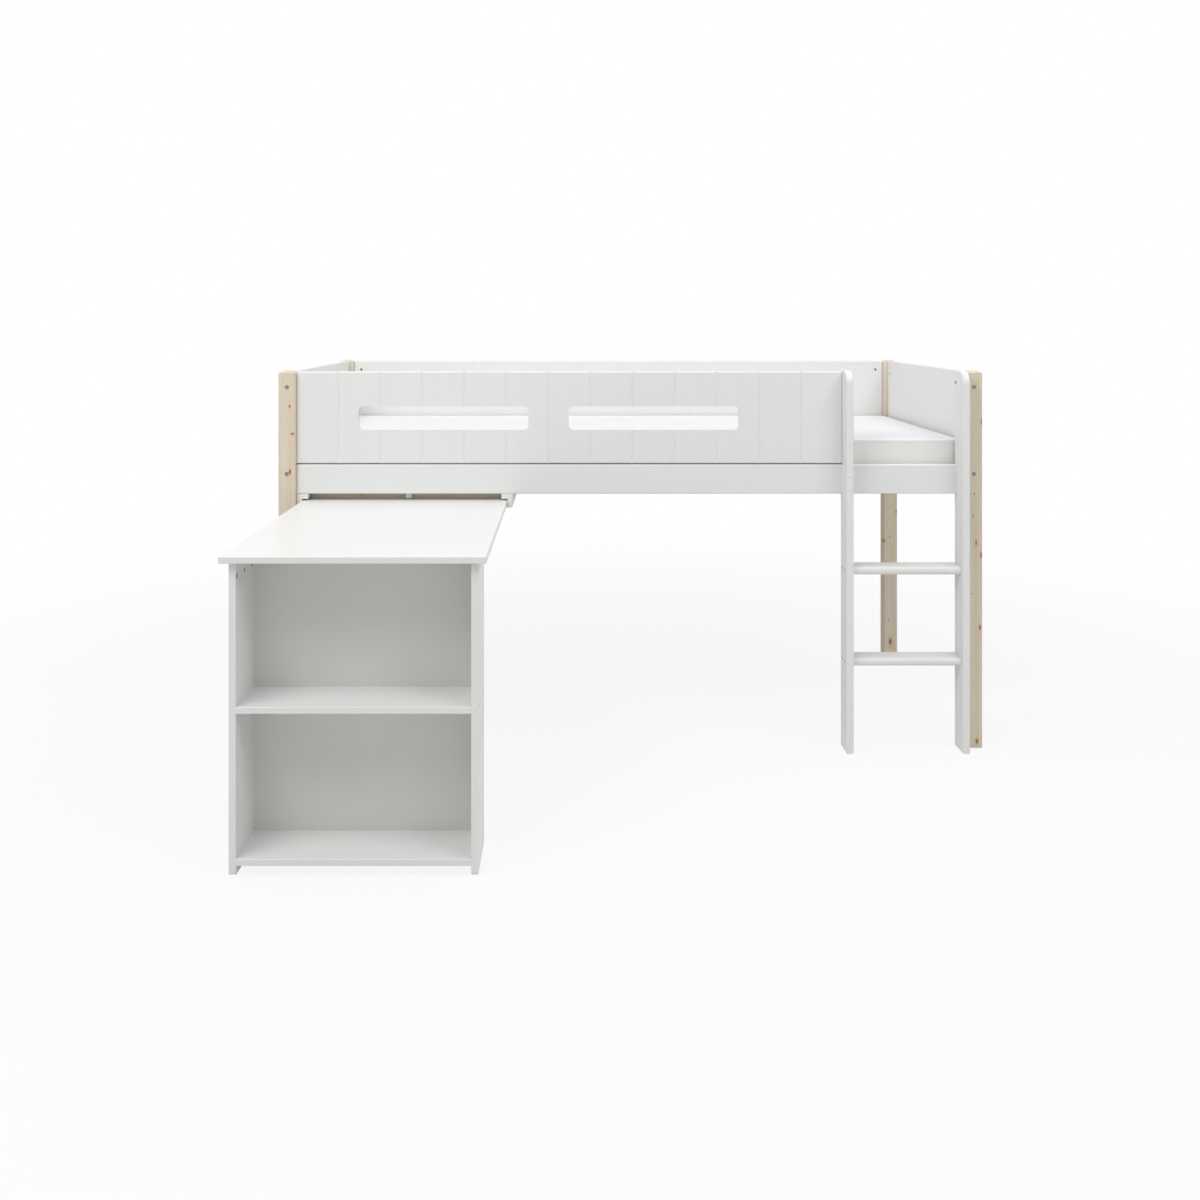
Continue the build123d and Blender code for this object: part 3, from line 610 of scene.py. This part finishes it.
inner = HALF - ROLL
inner_corner = CORNER - ROLL
grid_x, grid_y = np.meshgrid(spacing(inner[0], inner_corner, GRID_STEP),
                             spacing(inner[1], inner_corner, GRID_STEP), indexing="ij")
sheet_x, sheet_y, outward = round_plan(grid_x, grid_y, inner, inner_corner)
last_x, last_y = grid_x.shape[0] - 1, grid_x.shape[1] - 1
border = np.concatenate([
    np.stack([np.arange(last_x), np.zeros(last_x, int)]),
    np.stack([np.full(last_y, last_x), np.arange(last_y)]),
    np.stack([np.arange(last_x, 0, -1), np.full(last_x, last_y)]),
    np.stack([np.zeros(last_y, int), np.arange(last_y, 0, -1)])], 1)
rim = np.stack([sheet_x[tuple(border)], sheet_y[tuple(border)]], -1)
rim_out = outward[tuple(border)]
step = np.linalg.norm(np.roll(rim, -1, 0) - rim, axis=1)
rim_length = np.concatenate([[0], np.cumsum(step)[:-1]])
print("sheet of", grid_x.shape, "points, outline", round(float(step.sum()), 3), "m")


def side_profile():
    """The side from the top sheet's edge down to the bottom's: inset from the outline, and height.

    A quarter circle rolls over each edge, a narrow dip of bell shape marks each seam, and between them the
    inset follows a parabola that is deepest at half height. Returns inset, height and distance to a seam.
    """
    angle = np.linspace(0, math.pi / 2, 7)
    roll_in, roll_z = ROLL * (1 - np.sin(angle)), ROLL * (1 - np.cos(angle))
    levels = (EDGE_TOP - ROLL, EDGE_TOP - SEAM_ZONE, EDGE_LOW + SEAM_ZONE, EDGE_LOW + ROLL)
    z_side = np.concatenate([np.linspace(a, b, SIDE_ROWS)[1:] for a, b in zip(levels, levels[1:])])
    height = np.concatenate([EDGE_TOP - roll_z, z_side, EDGE_LOW + roll_z[::-1][1:]])
    inset = np.concatenate([roll_in, np.zeros(len(z_side)), roll_in[::-1][1:]])
    share = np.clip((height - EDGE_LOW) / (EDGE_TOP - EDGE_LOW), 0, 1)
    seam = np.minimum(np.abs(height - EDGE_TOP + SEAM_DROP), np.abs(height - EDGE_LOW - SEAM_DROP))
    inset = inset + DRAW_IN * (1 - (2 * share - 1) ** 2) + SEAM_DIP * np.exp(-(seam / SEAM_HALF_WIDTH) ** 2)
    return inset, height, seam


inset, height, seam = side_profile()
reach = (ROLL - inset)[:, None] + puckers(rim_length[None, :], seam[:, None])
reach[[0, -1]] = 0
side = np.empty((len(inset), len(rim), 3))
side[..., :2] = rim[None] + rim_out[None] * reach[..., None]
side[..., 2] = height[:, None] + sheet_height(rim[:, 0], rim[:, 1], 0)[None]
top = np.stack([sheet_x, sheet_y, EDGE_TOP + sheet_height(sheet_x, sheet_y, CROWN)], -1)
low = np.stack([sheet_x, sheet_y, np.full_like(sheet_x, EDGE_LOW)], -1)
side_cloth = np.stack(np.broadcast_arrays(rim_length[None, :], height[:, None]), -1)
shift = np.array([middle[0], middle[1], 0])
sheets = grid_faces(*sheet_x.shape)
mattress = make_piece("mattress_cover", [
    (top + shift, sheets, np.stack([sheet_x, sheet_y], -1)),
    (low + shift, sheets, np.stack([sheet_x, sheet_y], -1)),
    (side + shift, grid_faces(*side.shape[:2], closed=True), side_cloth),
], cover_cloth, "mattress")
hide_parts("mattress")
print("mattress:", len(mattress.data.polygons), "faces")

# %% [markdown]
# Piping is a cord wrapped in a strip of the cover's cloth and sewn into the seam. It is a small circle
# carried along the mattress's outline, at the seam's height: each point is the outline, plus the circle's
# cosine outwards and its sine upwards.

# %% Piping along the seams
turn = np.linspace(0, math.tau, 10, endpoint=False)
rings = []
for level in (EDGE_TOP - SEAM_DROP, EDGE_LOW + SEAM_DROP):
    share = (level - EDGE_LOW) / (EDGE_TOP - EDGE_LOW)
    base = ROLL - DRAW_IN * (1 - (2 * share - 1) ** 2) - PIPING_SUNK
    out = base + PIPING * np.cos(turn)
    ring = np.empty((len(turn), len(rim), 3))
    ring[..., :2] = rim[None] + rim_out[None] * out[:, None, None]
    ring[..., 2] = level + PIPING * np.sin(turn)[:, None]
    rings.append(ring + shift)
grids = []
for ring in rings:
    around = np.concatenate([ring, ring[:1]], 0)
    girth = np.append(turn, math.tau)[:, None] * PIPING
    cloth = np.stack(np.broadcast_arrays(rim_length[None, :], girth), -1)
    grids.append((around, grid_faces(*around.shape[:2], closed=True), cloth))
piping = make_piece("mattress_piping", grids, piping_cloth, "mattress")
print("piping:", len(piping.data.polygons), "faces")

# %% [markdown]
# Two flat woven straps keep the slats apart. Each is stapled under every slat and sags a little between
# them. The strap is a flat section carried along the bed; its sag between two slats is a parabola, so it
# hangs lowest half-way.

# %% Straps under the slats
def solids(name, count):
    """The lowest and highest corners of the equal solids in a group node, which lie one after another."""
    mesh = nodes[name].data
    place = np.empty(len(mesh.vertices) * 3, np.float32)
    mesh.vertices.foreach_get("co", place)
    blocks = place.reshape(count, -1, 3).astype(float)
    return blocks.min(1), blocks.max(1)


strap_low, strap_high = solids("slat_straps", 2)
slat_low, slat_high = solids("bed_slats", 14)
SAG = 0.0022
GAP_ROWS = 9
STRAP_THICK = strap_high[0, 2] - strap_low[0, 2]
gap_start, gap_end = np.sort(slat_high[:, 0])[:-1], np.sort(slat_low[:, 0])[1:]
knots_x = np.concatenate([np.linspace(a, b, GAP_ROWS) for a, b in zip(gap_start, gap_end)])
strap_x = np.unique(np.concatenate([[strap_low[0, 0]], knots_x, [strap_high[0, 0]]]))
gap = np.clip(np.searchsorted(gap_start, strap_x, side="right") - 1, 0, len(gap_start) - 1)
share = np.clip((strap_x - gap_start[gap]) / (gap_end[gap] - gap_start[gap]), 0, 1)
hang = SAG * 4 * share * (1 - share)
grids = []
for low_corner, high_corner in zip(strap_low, strap_high):
    half = (high_corner[1] - low_corner[1]) / 2
    thick = STRAP_THICK / 2
    across = np.array([-1, -0.98, -0.5, 0, 0.5, 0.98, 1, 0.98, 0.5, 0, -0.5, -0.98, -1]) * half
    upright = np.array([0, -1, -1, -1, -1, -1, 0, 1, 1, 1, 1, 1, 0]) * thick
    strap = np.empty((len(strap_x), len(across), 3))
    strap[..., 0] = strap_x[:, None]
    strap[..., 1] = (low_corner[1] + half) + across[None]
    strap[..., 2] = (low_corner[2] + thick - hang)[:, None] + upright[None]
    ends = strap.mean(1, keepdims=True)[[0, -1]].repeat(len(across), 1)
    strap = np.concatenate([ends[:1], strap, ends[1:]])
    along = np.concatenate([strap_x[:1], strap_x, strap_x[-1:]])
    cloth = np.stack(np.broadcast_arrays(across[None], along[:, None]), -1)
    grids.append((strap, grid_faces(*strap.shape[:2]), cloth))
straps = make_piece("slat_webbing", grids, webbing, "bed")
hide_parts("slat_straps")
print("straps:", len(straps.data.polygons), "faces")

# %% [markdown]
# Screws, nuts and cams. The CAD gives each its place and size; what a close look misses is the recess that a
# driver fits. Each fastener is turned from a profile, a list of radius and depth, carried round its axis.
# Within the recess the depth also depends on the direction: a cross for screws and cams, a single slot
# for nuts.

# %% Fasteners with driver recesses
FACE_ROWS = 15
TURN_STEPS = 48


def cross_recess(x, y, reach, width):
    """1 inside a cross with four arms, falling to 0 over a sloping wall."""
    near, far = np.minimum(np.abs(x), np.abs(y)), np.maximum(np.abs(x), np.abs(y))
    return np.clip((width - near) / (0.35 * width), 0, 1) * np.clip((reach - far) / (0.3 * reach), 0, 1)


def slot_recess(x, y, reach, width):
    """1 inside a straight slot across the face, falling to 0 over a sloping wall."""
    across = np.clip((width - np.abs(y)) / (0.3 * width), 0, 1)
    return across * np.clip((reach - np.abs(x)) / (0.2 * reach), 0, 1)


def turned(name, node, count, face_towards, radii, recess, depth, reach, width, body):
    """Fasteners made anew over a CAD node: face, cone and shank turned round each solid's own axis.

    The axis is the direction in which a solid's size differs from the other two. The face looks at a
    point or away from it: face_towards is (that point, 1) or (that point, -1). radii are the face's and the
    shank's radius and the length of the cone between them. The recess is cut depth deep into the face.
    """
    point, looks = face_towards
    lows, highs = solids(node, count)
    turn = np.linspace(0, math.tau, TURN_STEPS, endpoint=False)
    grids = []
    for low_corner, high_corner in zip(lows, highs):
        size, centre = high_corner - low_corner, (low_corner + high_corner) / 2
        axis = int(np.argmax(np.abs(size - np.median(size))))
        into = np.zeros(3)
        into[axis] = np.sign(centre[axis] - point[axis]) * looks
        first, second = np.eye(3)[(axis + 1) % 3], np.eye(3)[(axis + 2) % 3]
        face_radius, shank, cone = radii
        rows = np.concatenate([np.linspace(0, face_radius * 0.94, FACE_ROWS),
                               [face_radius, face_radius, shank, shank, 0]])
        down = np.concatenate([np.zeros(FACE_ROWS),
                               [0.04 * face_radius, 0.1 * face_radius, cone, size[axis], size[axis]]])
        x, y = rows[:, None] * np.cos(turn), rows[:, None] * np.sin(turn)
        on_face = np.arange(len(rows))[:, None] < FACE_ROWS - 1
        sunk = down[:, None] + np.where(on_face, depth * recess(x, y, reach, width), 0)
        start = centre - into * size[axis] / 2
        place = start + x[..., None] * first + y[..., None] * second + sunk[..., None] * into
        grids.append((place, grid_faces(*place.shape[:2], closed=True), np.stack([x, y], -1)))
    piece = make_piece(name, grids, zinc, body)
    piece.data.set_sharp_from_angle(angle=math.radians(35))
    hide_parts(node)
    return piece


bed_middle = (0, 0.418, 0)
desk_middle = (-0.675, 0, 0)
ladder_middle = (0.817, 0, 0)
above, below = (0, 0, 2), (0, 0, -2)
made = [
    turned("ladder_made_step_screws_detailed", "ladder_step_screws", 8, (ladder_middle, -1),
           (0.005, 0.003, 0.0024), cross_recess, 0.0022, 0.0027, 0.0008, "bed"),
    turned("desk_made_shelf_screws_detailed", "desk_shelf_screws", 8, (desk_middle, -1),
           (0.0045, 0.0025, 0.0024), cross_recess, 0.002, 0.0025, 0.0007, "desk"),
    turned("ledger_screws_detailed", "ledger_screws", 16, (bed_middle, 1),
           (0.0034, 0.0018, 0.0024), cross_recess, 0.0016, 0.0019, 0.0006, "bed"),
    turned("runner_screws_detailed", "runner_screws", 4, (above, -1),
           (0.004, 0.0022, 0.0024), cross_recess, 0.0018, 0.0022, 0.0007, "bed"),
    turned("batten_screws_detailed", "batten_screws", 4, (below, -1),
           (0.0034, 0.0018, 0.0024), cross_recess, 0.0016, 0.0019, 0.0006, "desk"),
    turned("desk_made_cams_detailed", "desk_cams", 6, (desk_middle, 1),
           (0.006, 0.006, 0.001), cross_recess, 0.003, 0.0042, 0.0009, "desk"),
    turned("barrel_nuts_detailed", "barrel_nuts", 19, (bed_middle, 1),
           (0.005, 0.005, 0.001), slot_recess, 0.0014, 0.0038, 0.0008, "bed"),
]
print("fasteners made anew:", [piece.name for piece in made])

# %% [markdown]
# Two white caps cover the screws that hold each ladder stile to the side rail. A cap is a low dome, turned
# from a quarter of an ellipse.

# %% Caps on the ladder's screws
CAP_RADIUS = 0.0062
CAP_HEIGHT = 0.0011
cap_low, cap_high = solids("ladder_rail_screws", 4)
turn = np.linspace(0, math.tau, 32, endpoint=False)
angle = np.linspace(0, math.pi / 2, 9)
radius = np.append(CAP_RADIUS * np.sin(angle), 0)
rise = np.append(CAP_HEIGHT * np.cos(angle), 0)
grids = []
for low_corner, high_corner in zip(cap_low, cap_high):
    centre = (low_corner + high_corner) / 2
    cap = np.empty((len(radius), len(turn), 3))
    cap[..., 0] = centre[0] + radius[:, None] * np.cos(turn)
    cap[..., 1] = low_corner[1] - rise[:, None]
    cap[..., 2] = centre[2] + radius[:, None] * np.sin(turn)
    grids.append((cap, grid_faces(*cap.shape[:2], closed=True), cap[..., [0, 2]]))
caps = make_piece("ladder_screw_caps", grids, cap_plastic, "bed")
print("caps:", len(grids), "with", len(caps.data.polygons), "faces")

# %% [markdown]
# The floor and the light. The photograph has a plain white ground. The floor here is a pale grey for the
# light that bounces from it, and nearly white where the camera looks at it, so a soft shadow stays. A
# large soft lamp overhead and two high in front, left and right, light the bed, and the world fills in
# from all round.

# %% Floor, world and lamps
floor_mesh = bpy.data.meshes.new("floor")
floor_mesh.from_pydata([(-30, -30, 0), (30, -30, 0), (30, 30, 0), (-30, 30, 0)], [], [(0, 1, 2, 3)])
floor = bpy.data.objects.new("floor", floor_mesh)
bpy.context.scene.collection.objects.link(floor)
material, tree, shader = new_material("floor", Roughness=0.9, Specular_IOR_Level=0.0)
shader.inputs["Base Color"].default_value = (0.8, 0.8, 0.8, 1)
path = add(tree, "ShaderNodeLightPath").outputs
seen = maths(tree, "MAXIMUM", path["Is Camera Ray"], path["Is Glossy Ray"])
seen = maths(tree, "MAXIMUM", seen, path["Is Transmission Ray"])
glow = add(tree, "ShaderNodeEmission", {"Color": (1, 1, 1, 1), "Strength": 1.0})
place = add(tree, "ShaderNodeTexCoord").outputs["Object"]
far = add(tree, "ShaderNodeVectorMath", {0: place}, operation="LENGTH").outputs["Value"]
share = maths(tree, "MULTIPLY", seen, ramp(tree, far, 1.4, 4.0, 0.88, 1.0))
blend = add(tree, "ShaderNodeMixShader", {0: share, 1: shader.outputs[0], 2: glow.outputs[0]})
fill(tree, tree.nodes["Material Output"].inputs["Surface"], blend.outputs[0])
floor_mesh.materials.append(material)

world = bpy.data.worlds.new("studio")
world.use_nodes = True
bpy.context.scene.world = world
tree = world.node_tree
path = add(tree, "ShaderNodeLightPath").outputs
seen = maths(tree, "MAXIMUM", path["Is Camera Ray"], path["Is Glossy Ray"])
seen = maths(tree, "MAXIMUM", seen, path["Is Transmission Ray"])
FILL_LIGHT = 0.40
strength = maths(tree, "MULTIPLY_ADD", seen, 1 - FILL_LIGHT, FILL_LIGHT)
fill(tree, tree.nodes["Background"].inputs["Strength"], strength)
tree.nodes["Background"].inputs["Color"].default_value = (1, 1, 1, 1)


def soft_lamp(name, place, target, size, power):
    """A rectangular lamp that looks at a point."""
    data = bpy.data.lights.new(name, "AREA")
    data.shape = "RECTANGLE"
    data.size, data.size_y = size
    data.energy = power
    lamp = bpy.data.objects.new(name, data)
    lamp.location = place
    lamp.rotation_euler = (Vector(target) - Vector(place)).to_track_quat("-Z", "Y").to_euler()
    bpy.context.scene.collection.objects.link(lamp)


soft_lamp("overhead", (0.0, 0.3, 3.4), (0.0, 0.3, 0.6), (4.4, 2.4), 34)
soft_lamp("high left", (-2.4, -2.6, 3.9), (0.0, 0.0, 0.7), (2.4, 1.8), 80)
soft_lamp("high right", (2.4, -2.6, 3.9), (0.0, 0.0, 0.7), (2.4, 1.8), 58)
bpy.context.scene.view_settings.view_transform = "Standard"
print("lamps:", [light.name for light in bpy.data.lights])
